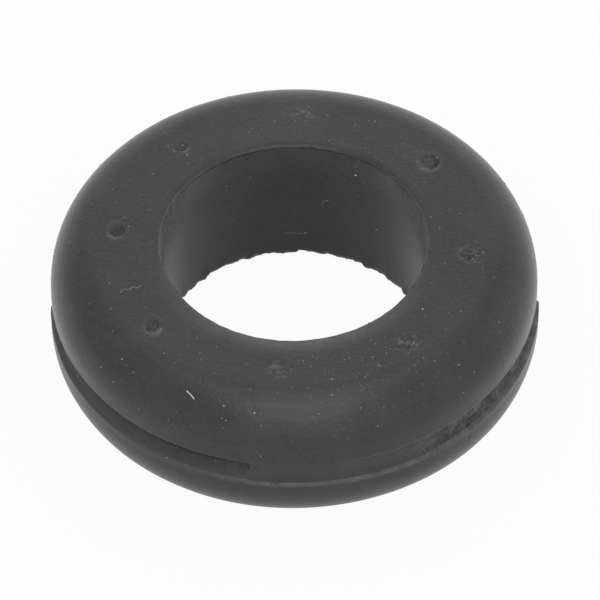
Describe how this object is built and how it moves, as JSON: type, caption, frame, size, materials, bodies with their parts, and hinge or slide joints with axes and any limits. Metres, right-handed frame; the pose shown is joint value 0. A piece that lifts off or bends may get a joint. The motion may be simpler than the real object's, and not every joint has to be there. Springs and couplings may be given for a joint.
{
  "type": "rubber grommet",
  "caption": "Round rubber cable grommet: a ring with a broad rounded flange on each side of a narrow groove for a panel edge.",
  "frame": {"origin": "on the axis of the bore, at the middle of the panel groove", "axes": "+Z along the bore towards the face with the gate marks, -Y towards the start of the flash film in the groove"},
  "size_m": [0.0222, 0.0221, 0.0072],
  "materials": {
    "rubber": "matt moulded"
  },
  "bodies": {
    "root": {"grommet": "rubber"}
  },
  "joints": []
}
